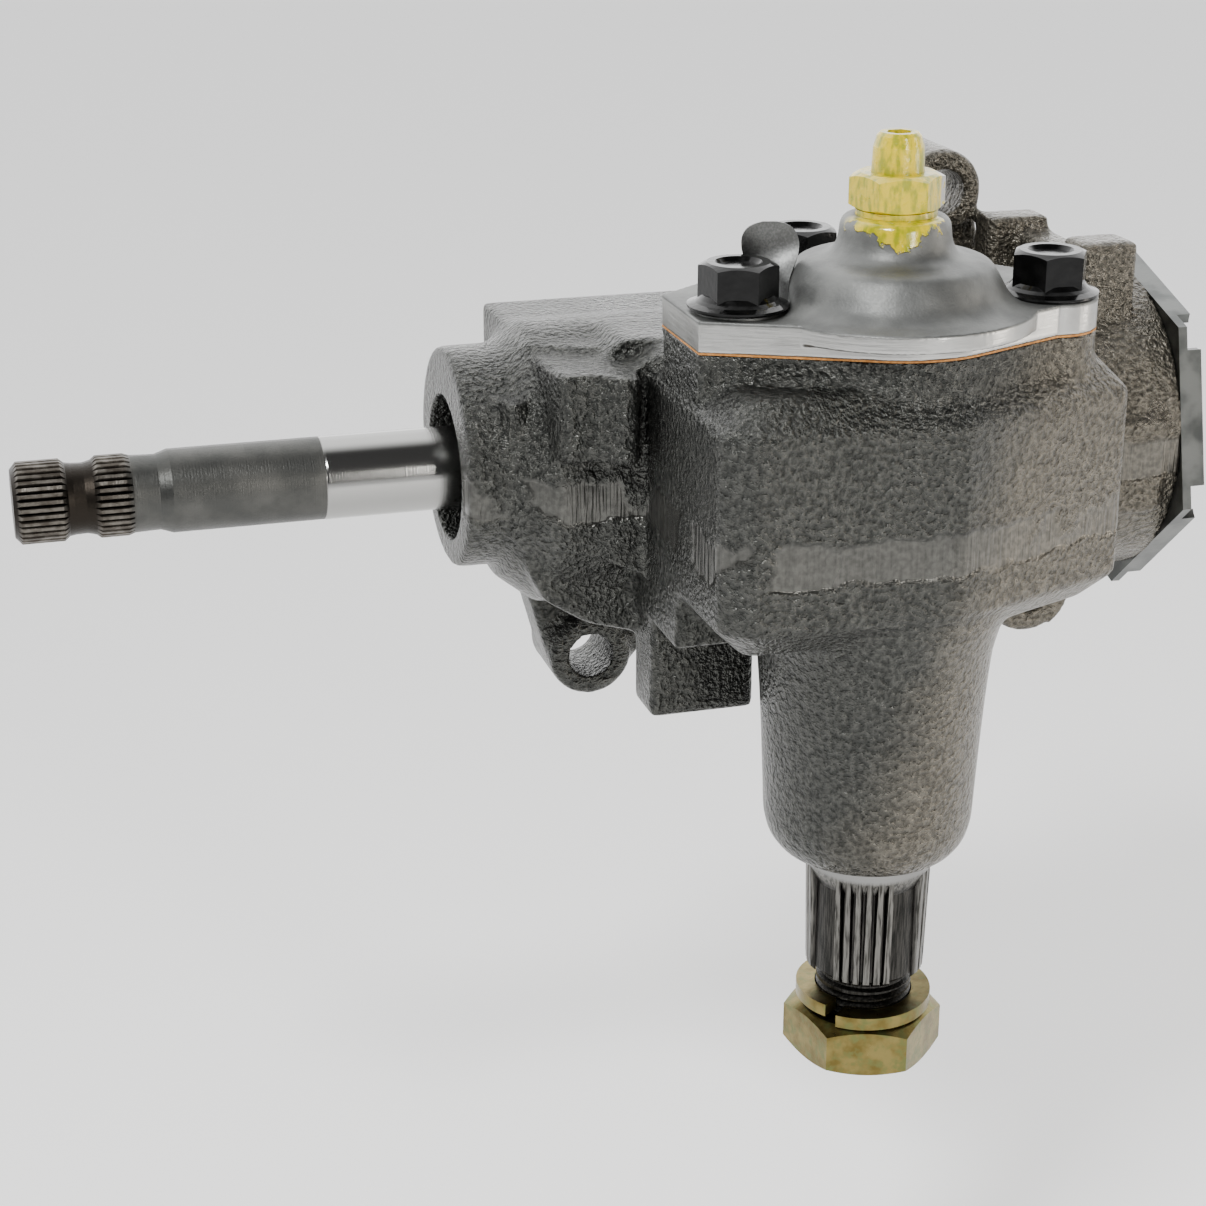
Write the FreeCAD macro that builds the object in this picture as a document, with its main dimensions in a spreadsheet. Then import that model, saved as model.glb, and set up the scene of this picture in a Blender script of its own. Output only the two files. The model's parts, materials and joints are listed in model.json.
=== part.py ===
import FreeCAD, Part
import math
import os

import Sketcher

# Right angle steering gearbox: a worm and ball nut turn a toothed sector. Millimetres, +Z up.
# Origin: on the rear mounting plane, level with the worm axis, in line with the sector axis.
# +X runs away from the input shaft, +Y towards the frame rail that carries the gearbox.

V = FreeCAD.Vector

DIMENSIONS = {
    # layout
    "sector_to_mount": 100.0, "centre_distance": 58.0, "worm_to_mount": 42.0,
    "gasket_z": 40.0, "gasket_thick": 0.4, "cover_top": 47.0, "tube_bottom": 80.2,
    "mouth_x": 84.8, "barrel_end": 83.5,
    # gears
    "pitch_radius": 34.0, "gear_module": 5.2308, "addendum": 4.4, "dedendum": 5.1, "pressure_angle": 25.0,
    "gear_half_width": 17.0, "ball_lead": 8.901, "ball_radius": 3.175, "groove_radius": 3.3,
    "ball_circle": 12.0, "worm_radius": 11.4, "worm_half_length": 52.6, "nut_bore": 12.6,
    "nut_half_length": 27.0, "nut_back": 16.5, "guide_radius": 3.9,
    # input shaft
    "input_tip": 182.3, "spline_radius": 9.2, "shaft_radius": 9.45, "ground_radius": 9.55,
    "seal_bore": 16.8, "bearing_x": 55.0, "bearing_ball": 3.5, "bearing_circle": 13.2, "cup_radius": 20.0,
    "race_radius": 3.55, "cup_length": 7.0,
    # output shaft
    "journal": 14.29, "running_gap": 0.05, "bushing_radius": 16.7, "spline_top": 84.0, "spline_root": 12.75,
    "spline_foot": 110.8, "thread_radius": 11.1, "arm_nut_top": 120.6, "arm_nut_bottom": 132.8,
    "arm_nut_flats": 31.9, "lock_washer_radius": 15.7, "journal_top": 52.0,
    # housing
    "worm_barrel": 33.0, "right_barrel": 37.5, "nut_chamber": 26.5, "plug_radius": 33.0,
    "sector_chamber": 39.5, "bolt_circle": 34.5, "bolt_radius": 4.7, "lug_hole": 5.75,
    # cover and adjuster
    "dome_radius": 22.5, "dome_top": 56.6, "boss_radius": 11.9, "boss_top": 65.5,
    "stud_radius": 5.56, "stud_top": 82.5, "stud_nut_flats": 17.5, "stud_nut_top": 74.3,
    "flange_radius": 10.7, "bolt_flats": 14.6, "bolt_top": 56.7,
    # worm adjuster
    "strip_thick": 0.8, "lock_nut_x": 83.55, "lock_nut_thick": 2.2, "lock_nut_flats": 74.2, "lock_nut_depth": 5.7,
}


class Size:
    """A number together with the sheet formula that gives it."""

    def __init__(self, value, text):
        self.value, self.text = float(value), text

    def __add__(self, other):
        other = sized(other)
        return Size(self.value + other.value, f"({self.text} + {other.text})")

    def __sub__(self, other):
        other = sized(other)
        return Size(self.value - other.value, f"({self.text} - {other.text})")

    def __mul__(self, other):
        other = sized(other)
        return Size(self.value * other.value, f"({self.text} * {other.text})")

    def __neg__(self):
        return Size(-self.value, f"(0 - {self.text})")

    __radd__ = __add__
    __rmul__ = __mul__

    def __rsub__(self, other):
        return sized(other) - self


def sized(number):
    return number if isinstance(number, Size) else Size(number, f"{number:.6f}")


class Sheet:
    pass


doc = FreeCAD.newDocument("steering_gearbox")
sheet = doc.addObject("Spreadsheet::Sheet", "Dims")
d = Sheet()
for row, (alias, number) in enumerate(DIMENSIONS.items(), start=1):
    sheet.set(f"A{row}", alias)
    sheet.set(f"B{row}", str(number))
    sheet.setAlias(f"B{row}", alias)
    setattr(d, alias, Size(number, f"Dims.{alias}"))
doc.recompute()

NODES = []
TURN = {"x": FreeCAD.Rotation(V(0, 1, 0), 90), "y": FreeCAD.Rotation(V(1, 0, 0), -90), "z": FreeCAD.Rotation()}


# ---- helpers: every length they set is bound to the sheet ----

def bind(obj, **lengths):
    for name, length in lengths.items():
        obj.setExpression(name, sized(length).text)
    return obj


def place(obj, at=(0, 0, 0), turn=None):
    if turn is not None:
        obj.Placement = FreeCAD.Placement(V(0, 0, 0), turn)
    for axis, length in zip("xyz", at):
        obj.setExpression(f".Placement.Base.{axis}", sized(length).text)
    return obj


def cylinder(radius, height, at, along="z"):
    return place(bind(doc.addObject("Part::Cylinder", "Cylinder"), Radius=radius, Height=height), at, TURN[along])


def cone(radius, far_radius, height, at, along="z"):
    obj = bind(doc.addObject("Part::Cone", "Cone"), Radius1=radius, Radius2=far_radius, Height=height)
    return place(obj, at, TURN[along])


def box(low, high):
    lengths = [sized(top) - bottom for bottom, top in zip(low, high)]
    obj = bind(doc.addObject("Part::Box", "Box"), Length=lengths[0], Width=lengths[1], Height=lengths[2])
    return place(obj, low)


def torus(ring, section, at):
    obj = bind(doc.addObject("Part::Torus", "Torus"), Radius1=ring, Radius2=section)
    return place(obj, at, TURN["x"])


def fixed(shape, name="Shape"):
    obj = doc.addObject("Part::Feature", name)
    obj.Shape = shape
    return obj


def fuse(*solids):
    obj = doc.addObject("Part::MultiFuse", "Fuse")
    obj.Shapes = list(solids)
    obj.Refine = True
    return obj


def cut(solid, *tools):
    obj = doc.addObject("Part::Cut", "Cut")
    obj.Base = solid
    obj.Tool = tools[0] if len(tools) == 1 else fuse(*tools)
    return obj


def common(*solids):
    obj = doc.addObject("Part::MultiCommon", "Common")
    obj.Shapes = list(solids)
    return obj


def outline(sketch, corners):
    """Closed chain of straight lines, each corner bound to the sheet."""
    corners = [(sized(x), sized(y)) for x, y in corners]
    points = [V(x.value, y.value, 0) for x, y in corners]
    first = sketch.GeometryCount
    for index, point in enumerate(points):
        sketch.addGeometry(Part.LineSegment(point, points[(index + 1) % len(points)]), False)
    for index, (x, y) in enumerate(corners):
        line, following = first + index, first + (index + 1) % len(corners)
        sketch.addConstraint(Sketcher.Constraint("Coincident", line, 2, following, 1))
        for kind, length in (("DistanceX", x), ("DistanceY", y)):
            number = sketch.addConstraint(Sketcher.Constraint(kind, -1, 1, line, 1, length.value))
            sketch.setExpression(f"Constraints[{number}]", length.text)


def body(label):
    obj = doc.addObject("PartDesign::Body", label)
    obj.Label = label
    return obj


def body_sketch(owner, role):
    sketch = owner.newObject("Sketcher::SketchObject", "Sketch")
    planes = {feature.Role: feature for feature in owner.Origin.OriginFeatures}
    sketch.AttachmentSupport = [(planes[role], "")]
    sketch.MapMode = "FlatFace"
    return sketch


def turned(label, profile, along="z"):
    """Body made on a lathe: profile is (radius, z) about Z or (x, radius) about X."""
    owner = body(label)
    sketch = body_sketch(owner, "XZ_Plane")
    outline(sketch, profile)
    feature = owner.newObject("PartDesign::Revolution", "Revolution")
    feature.Profile = sketch
    feature.ReferenceAxis = (sketch, ["V_Axis" if along == "z" else "H_Axis"])
    feature.Angle = 360
    return owner


def prism(corners, plane, start, depth):
    """Extrusion of an outline drawn in plane XY, XZ or YZ, from start, along the plane's own axis."""
    sketch = doc.addObject("Sketcher::SketchObject", "Outline")
    turns = {"XY": TURN["z"], "XZ": FreeCAD.Rotation(V(1, 0, 0), 90), "YZ": FreeCAD.Rotation(V(1, 1, 1), 120)}
    outline(sketch, corners)
    offsets = {"XY": (0, 0, start), "XZ": (0, start, 0), "YZ": (start, 0, 0)}
    place(sketch, offsets[plane], turns[plane])
    obj = doc.addObject("Part::Extrusion", "Extrusion")
    obj.Base = sketch
    obj.DirMode = "Normal"
    obj.Solid = True
    obj.Reversed = plane == "XZ"
    return bind(obj, LengthFwd=depth)


def hexagon(label, flats, low, high, corner_angle=0.0, chamfer=1.0):
    """Hexagon bar between two heights, its corners turned off by a cone at both ends."""
    bar = doc.addObject("Part::Prism", "Hexagon")
    bar.Polygon = 6
    bind(bar, Circumradius=flats * (1 / math.sqrt(3)), Height=sized(high) - low)
    place(bar, (0, 0, low), FreeCAD.Rotation(V(0, 0, 1), corner_angle))
    corner = flats * (1 / math.sqrt(3))
    inner = corner - chamfer * 2.0
    turned_blank = turned(label + "_blank", [(0, low), (inner, low), (corner, sized(low) + chamfer),
                                             (corner, sized(high) - chamfer), (inner, high), (0, high)])
    return common(bar, turned_blank)


def copies(solid, places):
    """The same solid at several placements, as one group of separate solids."""
    obj = doc.addObject("Part::Compound", "Group")
    links = []
    for spot in places:
        link = doc.addObject("Part::Feature", "Copy")
        link.Shape = solid.Shape.copy()
        link.Placement = spot.multiply(solid.Shape.Placement)
        links.append(link)
    obj.Links = links
    return obj


def node(label, obj, y_shift):
    """Names a finished sub-part and moves it from its own axis into the gearbox's frame."""
    obj.Label = label
    obj.setExpression(".Placement.Base.y", (-sized(y_shift)).text)
    NODES.append(obj)
    return obj


def on_sector_axis(label, obj):
    return node(label, obj, d.sector_to_mount)


def on_worm_axis(label, obj):
    return node(label, obj, d.worm_to_mount)


def polar(radius, degrees):
    return V(radius * math.cos(math.radians(degrees)), radius * math.sin(math.radians(degrees)), 0)


# ---- outline shared by the cover, its gasket and the housing's machined crown ----

BOLT_ANGLES = (180.0, -6.0, 104.0)
EAR_RADIUS = 10.6
FRONT_RADIUS = 25.5
LOBE_RADIUS = 44.0
LOBE_ANGLES = (18.0, 82.0)
OPENING_LOBE = (17.0, 86.0)


def cover_face():
    """Three-eared outline: straight left end, round front, two long straight edges, a lobe behind."""
    circle = d.bolt_circle.value
    left = -circle - EAR_RADIUS
    rear_ear = polar(circle, BOLT_ANGLES[2])
    ears = [Part.Face(Part.Wire(Part.makeCircle(EAR_RADIUS, polar(circle, angle)))) for angle in BOLT_ANGLES]
    front = Part.Face(Part.Wire(Part.makeCircle(FRONT_RADIUS)))
    lobe_ends = [polar(LOBE_RADIUS, angle) for angle in LOBE_ANGLES]
    lobe_edge = Part.Arc(lobe_ends[0], polar(LOBE_RADIUS, sum(LOBE_ANGLES) / 2), lobe_ends[1]).toShape()
    lobe = Part.Face(Part.Wire([Part.makeLine(V(), lobe_ends[0]), lobe_edge, Part.makeLine(lobe_ends[1], V())]))
    left_corner, right_corner = V(left, -6.5, 0), V(circle + EAR_RADIUS * 0.75, -9.5, 0)
    rear_tangent = rear_ear + polar(EAR_RADIUS, 140.0)
    corners = [V(left, 18.5, 0), left_corner, polar(FRONT_RADIUS, 239.0), polar(FRONT_RADIUS, 295.0),
               right_corner, polar(circle, 0) + polar(EAR_RADIUS, 35.0), lobe_ends[0], lobe_ends[1],
               rear_ear + polar(EAR_RADIUS, 60.0), rear_tangent]
    web = Part.Face(Part.makePolygon(corners + corners[:1]))
    return web.multiFuse([front, lobe] + ears[1:]).removeSplitter()


COVER_FACE = fixed(cover_face(), "CoverFace")


def cover_slab(low, high, taper=0.0):
    slab = doc.addObject("Part::Extrusion", "Slab")
    slab.Base = COVER_FACE
    slab.DirMode = "Custom"
    slab.Dir = V(0, 0, 1)
    slab.Solid = True
    slab.TaperAngle = taper
    bind(slab, LengthFwd=sized(high) - low)
    return place(slab, (0, 0, low))


def opening(low, high):
    """Hole through which the sector goes in: round, with a lobe that its teeth pass."""
    reach, (start, stop) = d.sector_chamber.value, OPENING_LOBE
    arc = Part.Arc(polar(reach, start), polar(reach, (start + stop) / 2), polar(reach, stop)).toShape()
    edges = [Part.makeLine(V(), polar(reach, start)), arc, Part.makeLine(polar(reach, stop), V())]
    lobe = doc.addObject("Part::Extrusion", "Lobe")
    lobe.Base = fixed(Part.Face(Part.Wire(edges)), "LobeFace")
    lobe.DirMode = "Custom"
    lobe.Dir = V(0, 0, 1)
    lobe.Solid = True
    bind(lobe, LengthFwd=sized(high) - low)
    place(lobe, (0, 0, low))
    return fuse(lobe, cylinder(d.dome_radius - 1.0, sized(high) - low, (0, 0, low)))


def bolt_places():
    return [(d.bolt_circle * math.cos(math.radians(a)), d.bolt_circle * math.sin(math.radians(a)))
            for a in BOLT_ANGLES]


# ---- housing ----

LUGS = {"lower_left": (-43.5, -60.0, 10.6), "upper": (46.5, 52.5, 10.4), "lower_right": (77.0, -55.0, 11.5)}
LUG_FRONT = 80.0
BLOCK = [(-46, -23), (-40, -28.5), (6, -30), (51, -12), (53.5, 6), (53.5, 60), (-56.5, 60), (-56.5, 27),
         (-55, 24.5), (-46.5, 24), (-46.5, 8)]


def housing_outside():
    axis = d.centre_distance
    block_low, block_high, slope = -15.0, 27.0, 7.0
    block = prism(BLOCK, "XY", block_low, block_high - block_low)
    shoulder = prism(BLOCK, "XY", block_high, slope)
    shoulder.TaperAngle = -45
    under = prism(BLOCK, "XY", block_low, slope)
    under.TaperAngle = -45
    under.Reversed = True
    tube = turned("tube_blank", [(0, -14), (29, -14), (28.8, -20), (27.4, -25), (26.2, -30), (25.2, -42),
                                 (24.4, -56), (23.7, -71.5), (22.6, -75.6), (20.2, -78.8), (17, -d.tube_bottom),
                                 (0, -d.tube_bottom)])
    place(tube, (-0.9, 0, 0))
    crown = cover_slab(26.0, d.gasket_z)
    barrel = cylinder(d.worm_barrel, 116.0, (-66, axis, 0), "x")
    neck = cone(26.0, d.worm_barrel, 9.0, (-75, axis, 0), "x")
    mouth = cylinder(25.5, 12.0, (-d.mouth_x, axis, 2.5), "x")
    right = cylinder(d.right_barrel, d.barrel_end - 40.0, (40, axis, 0), "x")
    right_boss = box((62.5, 35, 18), (76.5, 47, 47.8))
    boss_web = box((62.5, 46, 18), (72, 73, 43.5))
    right_pad = box((58, 19.6, -14), (79, 40, 9))
    deck = box((-68.5, 46, 0), (52, 88, 31))
    deck_front = prism([(-68.5, 46), (-58, 40), (-40, 36), (-40, 60), (-68.5, 60)], "XY", 12, 19)
    front_rib = prism([(-68, 45), (-67, 25), (-65, 21.5), (-62.5, 22), (-58.5, 21), (-54.5, 17), (-51.5, 16.5),
                       (-49.5, 18.5), (-49, 26), (-49, 45)], "XY", 9.5, 20.0)
    small_bump = prism([(-77.5, 50), (-76.5, 35), (-74.5, 32.6), (-71.5, 34), (-69.5, 39), (-69.5, 50)],
                       "XY", 6, 15)
    belly = prism([(-72, -18), (-68, -26), (-58, -32.5), (-46, -36), (-34, -38), (-20, -39), (-20, 0), (-72, 0)],
                  "XZ", 33, 40)
    belly_front = box((-46.5, 2, -28.5), (-20, 40, -10))
    lower_boss = box((-45.5, 23, -53.5), (-20.5, 37, -10))
    rear_boss = box((55, 70, 10), (70.5, 80, 47.6))
    rear_pad = cylinder(14.0, 20.0, (0, d.sector_to_mount - 20.0, 0), "y")
    return [block, shoulder, under, tube, crown, barrel, neck, mouth, right, right_boss, boss_web, right_pad, deck,
            deck_front, front_rib, small_bump, belly, belly_front, lower_boss, rear_boss, rear_pad] + lug_solids()


def lug_solids():
    rear = d.sector_to_mount
    webs = {
        "lower_left": [(-67, -14), (-53.8, -62), (-49.5, -68.6), (-38, -69), (-29, -60), (-20, -14)],
        "upper": [(27, 20), (36.6, 54), (41, 61), (51, 61.6), (56.4, 55), (57, 46), (62, 20)],
        "lower_right": [(44, -20), (66, -61), (71, -65), (82, -65), (88, -59), (88, -20)],
    }
    solids = []
    for name, (x, z, radius) in LUGS.items():
        solids.append(prism(webs[name], "XZ", LUG_FRONT + 3, rear - LUG_FRONT - 5.0))
        solids.append(cylinder(radius, rear - LUG_FRONT, (x, LUG_FRONT, z), "y"))
    solids.append(box((-66, 76, -30), (84, 94, 24)))
    return solids


def housing_hollows():
    axis, reach = d.centre_distance, d.sector_chamber
    half = d.gear_half_width + 2.0
    sector_room = common(cylinder(reach, half * 2, (0, 0, -half)),
                         box((-45, -6, -half), (45, 45, half)))
    hollows = [
        sector_room,
        cylinder(d.dome_radius - 1.5, d.gasket_z + half + 1.0, (0, 0, -half)),
        opening(d.gear_half_width, d.gasket_z + 1.0),
        cylinder(d.bushing_radius, 70.0, (0, 0, -d.tube_bottom - 1.0)),
        cylinder(17.6, 9.2, (0, 0, -d.tube_bottom - 1.0)),
        cylinder(d.nut_chamber, d.bearing_x * 2 + 6.0, (-d.bearing_x, axis, 0), "x"),
        box((-51.5, 28, -18.5), (51.5, axis, 18.5)),
        cylinder(d.plug_radius + 0.1, 40.0, (d.bearing_x + 4.0, axis, 0), "x"),
        cylinder(43.0, 12.0, (d.barrel_end, axis, 0), "x"),
        cylinder(d.cup_radius, d.cup_length, (-d.bearing_x - d.cup_length, axis, 0), "x"),
        cylinder(11.6, 40.0, (-d.mouth_x, axis, 0), "x"),
        cylinder(d.seal_bore, 15.3, (-d.mouth_x - 0.5, axis, 0), "x"),
    ]
    for x, y in bolt_places():
        hollows.append(cylinder(d.bolt_radius, 20.0, (x, y, d.gasket_z - 19.0)))
    for x, z, _ in LUGS.values():
        hollows.append(cylinder(d.lug_hole, 60.0, (x, d.sector_to_mount - 30.0, z), "y"))
    return hollows


def gear_housing():
    outside = fuse(*housing_outside())
    return cut(outside, *housing_hollows())


# ---- cover and what sits on it ----

def side_cover():
    bore = d.bushing_radius - 0.7
    plate = cover_slab(d.gasket_z + d.gasket_thick, d.cover_top)
    dome = turned("cover_dome", [
        (0, d.cover_top - 4), (30.5, d.cover_top - 4), (30.5, d.cover_top - 0.3), (26.6, d.cover_top + 0.6),
        (24.2, d.cover_top + 2.4), (22.8, d.cover_top + 5), (d.dome_radius - 0.5, d.dome_top - 3.2),
        (d.dome_radius - 2.2, d.dome_top - 0.7), (d.dome_radius - 5.0, d.dome_top),
        (d.boss_radius + 2.6, d.dome_top + 0.3), (d.boss_radius + 0.9, d.dome_top + 1.6),
        (d.boss_radius, d.dome_top + 4), (d.boss_radius - 0.2, d.boss_top - 1.2),
        (d.boss_radius - 1.4, d.boss_top), (0, d.boss_top)])
    hollows = [cylinder(bore, 13.0, (0, 0, d.gasket_z)), cylinder(8.8, 16.4, (0, 0, d.gasket_z)),
               cylinder(d.stud_radius + 0.04, 60.0, (0, 0, d.gasket_z))]
    for x, y in bolt_places():
        hollows.append(cylinder(d.bolt_radius + 0.3, 12.0, (x, y, d.gasket_z)))
        hollows.append(cylinder(d.flange_radius + 0.4, 14.0, (x, y, d.cover_top)))
    return cut(fuse(plate, dome), *hollows)


def side_cover_gasket():
    hollows = [opening(d.gasket_z - 1.0, d.cover_top)]
    for x, y in bolt_places():
        hollows.append(cylinder(d.bolt_radius + 0.3, 4.0, (x, y, d.gasket_z - 1.0)))
    return cut(cover_slab(d.gasket_z, d.gasket_z + d.gasket_thick), *hollows)


def cover_bolts():
    """Three flanged hexagon screws; each flat is turned to its own angle."""
    low = d.cover_top
    flange = turned("bolt_flange", [(0, low), (d.flange_radius - 0.4, low), (d.flange_radius, low + 0.5),
                                    (d.flange_radius, low + 0.9), (d.flange_radius - 1.6, low + 1.5),
                                    (8.3, low + 2.1), (7.6, low + 3), (0, low + 3)])
    head = hexagon("bolt_head", d.bolt_flats, low + 1.0, d.bolt_top, 0.0, 0.9)
    dish = cone(4.2, 5.0, 1.0, (0, 0, d.bolt_top - 0.9))
    shank = cylinder(d.bolt_radius - 0.05, 26.0, (0, 0, low - 24.0))
    bolt = fuse(cut(head, dish), flange, shank)
    doc.recompute()
    lifts = (d.strip_thick.value, 0.0, 0.0)
    spots = [FreeCAD.Placement(V(x.value, y.value, lift), FreeCAD.Rotation(V(0, 0, 1), angle))
             for (x, y), lift, angle in zip(bolt_places(), lifts, (40.4, -1.0, 20.0))]
    return copies(bolt, spots)


def side_cover_bushing():
    low, high = d.gasket_z + 0.6, d.gasket_z + 12.6
    inner, outer = d.journal + d.running_gap, d.bushing_radius - 0.7
    return turned("side_cover_bushing", [(inner, low), (outer, low), (outer, high), (inner, high)])


def lash_adjuster_screw():
    """Stud with a round head that sits in the T slot of the sector shaft."""
    head, radius, top = d.journal_top - 1.9, d.stud_radius, d.stud_top
    blank = turned("adjuster_blank", [
        (0, head - 2.8), (7.9, head - 2.8), (7.9, head), (5.0, head), (5.0, head + 3), (radius, head + 3.5),
        (radius, top - 8.5), (radius - 0.25, top - 3.0), (radius - 0.9, top - 0.7), (radius - 1.6, top), (0, top)])
    socket = doc.addObject("Part::Prism", "Socket")
    socket.Polygon = 6
    bind(socket, Circumradius=2.8, Height=5.0)
    place(socket, (0, 0, top - 4.5))
    return cut(blank, socket)


def lash_adjuster_shim():
    low = d.journal_top - 5.2
    return turned("lash_adjuster_shim", [(0, low), (7.7, low), (7.7, low + 0.45), (0, low + 0.45)])


def adjuster_lock_nut():
    hexed = hexagon("stud_nut", d.stud_nut_flats, d.boss_top + 1.0, d.stud_nut_top, -14.0, 1.1)
    face = cylinder(8.6, 1.2, (0, 0, d.boss_top))
    return cut(fuse(hexed, face), cylinder(d.stud_radius + 0.04, 20.0, (0, 0, d.boss_top - 1.0)))


def identification_strip():
    """Plain tag: a ring under the left bolt's flange, from which the strip rises, twists and ends round."""
    x, y = (length.value for length in bolt_places()[0])
    low, thick = d.cover_top.value, d.strip_thick.value
    ring = Part.makeCylinder(9.0, thick, V(x, y, low))
    sections = [  # centre from the bolt, width, heading of the width, tilt of the strip from level
        (V(9.1, 1.6, 0.5), 8.6, 100.0, 25.0), (V(9.8, 3.2, 1.8), 9.0, 106.0, 60.0),
        (V(9.9, 5.0, 4.3), 9.2, 112.0, 85.0), (V(9.5, 6.6, 7.5), 10.2, 138.0, 90.0),
        (V(9.6, 7.6, 10.9), 12.0, 158.0, 92.0), (V(9.6, 8.0, 13.9), 11.4, 165.0, 94.0),
        (V(9.6, 8.1, 15.8), 8.0, 166.0, 95.0), (V(9.6, 8.2, 16.6), 3.0, 166.0, 95.0)]
    wires = []
    for centre, width, heading, tilt in sections:
        along = polar(1.0, heading)
        across = FreeCAD.Rotation(along, tilt).multVec(V(0, 0, 1))
        middle = V(x, y, low) + centre
        corners = [middle + along * (side * width / 2) + across * (face * thick / 2)
                   for side, face in ((-1, -1), (1, -1), (1, 1), (-1, 1))]
        wires.append(Part.makePolygon(corners + corners[:1]))
    hole = Part.makeCylinder(d.bolt_radius.value + 0.3, 4, V(x, y, low - 1))
    return fixed(Part.makeCompound([ring.cut(hole), Part.makeLoft(wires, True)]), "Strip")


# ---- input side ----

def helix_tool(turns, begins):
    """Coil about X with the ball groove's section; begins is its first angle, from -Z towards +Y."""
    radius, lead = d.ball_circle.value, d.ball_lead.value
    helix = Part.makeHelix(lead, lead * turns, radius)
    tangent = V(0, 2 * math.pi * radius, lead)
    profile = Part.Wire(Part.makeCircle(d.groove_radius.value, V(radius, 0, 0), tangent))
    coil = Part.Wire(helix.Edges).makePipeShell([profile], True, True)
    coil.rotate(V(), V(0, 1, 0), 90)
    coil.rotate(V(), V(1, 0, 0), begins)
    return coil


def worm_shaft():
    """Input shaft and worm in one piece."""
    tip, neck, worm = d.input_tip, d.bearing_x, d.worm_radius
    spline, plain, ground = d.spline_radius, d.shaft_radius, d.ground_radius
    half, race = d.worm_half_length, d.bearing_circle - d.race_radius
    profile = [
        (-tip, 0), (-tip, spline - 1.6), (-tip + 1.4, spline), (-tip + 10.6, spline), (-tip + 11.8, spline - 1.0),
        (-tip + 13.2, 8.0), (-tip + 15.6, 7.9), (-tip + 17.6, 8.4), (-tip + 18.6, spline),
        (-tip + 24.6, spline), (-tip + 26.0, 8.7), (-tip + 31.6, 8.5), (-tip + 34.4, plain),
        (-113.7, plain), (-113.3, ground), (-neck - 4, ground), (-neck - 4, race), (-half - 0.93, race),
        (-half + 0.82, worm),
        (half - 1.4, worm), (half - 1.4, 0)]
    blank = turned("worm_blank", profile, "x")
    teeth = input_splines()
    coil = helix_tool(10.5, 180.0)
    coil.translate(V(-5.25 * d.ball_lead.value, 0, 0))
    return cut(cut(blank, fixed(coil, "BallGroove")), teeth)


def worm_end_race():
    """Hardened stub on the worm's inner end, with the lower bearing's ball race turned on it."""
    half, neck, race = d.worm_half_length, d.bearing_x, d.bearing_circle - d.race_radius
    return turned("worm_end_race", [
        (half - 1.4, 0), (half - 1.4, d.worm_radius), (half - 0.82, d.worm_radius), (half + 0.93, race),
        (neck + 4, race), (neck + 4.5, 8.9), (neck + 6, 8.9), (neck + 6, 0)], "x")


def input_splines():
    """Thirty-six vee cutters laid along the two splined stretches."""
    count, depth, tip = 36, 0.95, d.spline_radius.value
    half_angle = math.radians(180.0 / count) * 0.78
    cutters = []
    for low, high in ((-d.input_tip.value - 1.0, -d.input_tip.value + 12.2),
                      (-d.input_tip.value + 17.4, -d.input_tip.value + 25.8)):
        for index in range(count):
            angle = 2 * math.pi * index / count
            corners = [(tip - depth, angle), (tip + 0.6, angle - half_angle), (tip + 0.6, angle + half_angle)]
            points = [V(low, r * math.cos(a), r * math.sin(a)) for r, a in corners]
            face = Part.Face(Part.makePolygon(points + points[:1]))
            cutters.append(face.extrude(V(high - low, 0, 0)))
    return fixed(Part.makeCompound(cutters), "SplineCutters")


def bearing_cup(label, side):
    inner, back = d.bearing_x, d.bearing_x + d.cup_length
    ring = turned(label, [(side * inner, d.bearing_circle + 2.2), (side * inner, d.cup_radius),
                          (side * back, d.cup_radius), (side * back, 11.7), (side * (inner + 2.4), 11.7)], "x")
    race = torus(d.bearing_circle, d.race_radius, (side * inner, 0, 0))
    return cut(ring, race)


BEARING_BALLS = 10


def bearing_ball_places(side):
    x, radius = side * d.bearing_x.value, d.bearing_circle.value
    angles = [2 * math.pi * index / BEARING_BALLS for index in range(BEARING_BALLS)]
    return [V(x, radius * math.cos(angle), radius * math.sin(angle)) for angle in angles]


def bearing_balls(side):
    balls = [Part.makeSphere(d.bearing_ball.value, centre) for centre in bearing_ball_places(side)]
    return fixed(Part.makeCompound(balls), "Balls")


def bearing_cage(label, side):
    ring = turned(label, [(side * 52.2, 14.6), (side * 52.2, 17.8), (side * 54.4, 17.8), (side * 54.4, 14.6)], "x")
    pockets = [Part.makeSphere(d.race_radius.value, centre) for centre in bearing_ball_places(side)]
    return cut(ring, fixed(Part.makeCompound(pockets), "Pockets"))


def worm_shaft_seal():
    inner, outer, low, high = d.ground_radius + d.running_gap, d.seal_bore, -77.5, -70.0
    return turned("worm_shaft_seal", [(low, outer), (low, inner + 2.6), (low + 0.9, inner + 2.4), (low + 1.4, inner),
                                      (low + 2.4, inner), (low + 4.4, inner + 2.2), (low + 4.4, outer - 1.2),
                                      (high, outer - 1.2), (high, outer)], "x")


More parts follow.
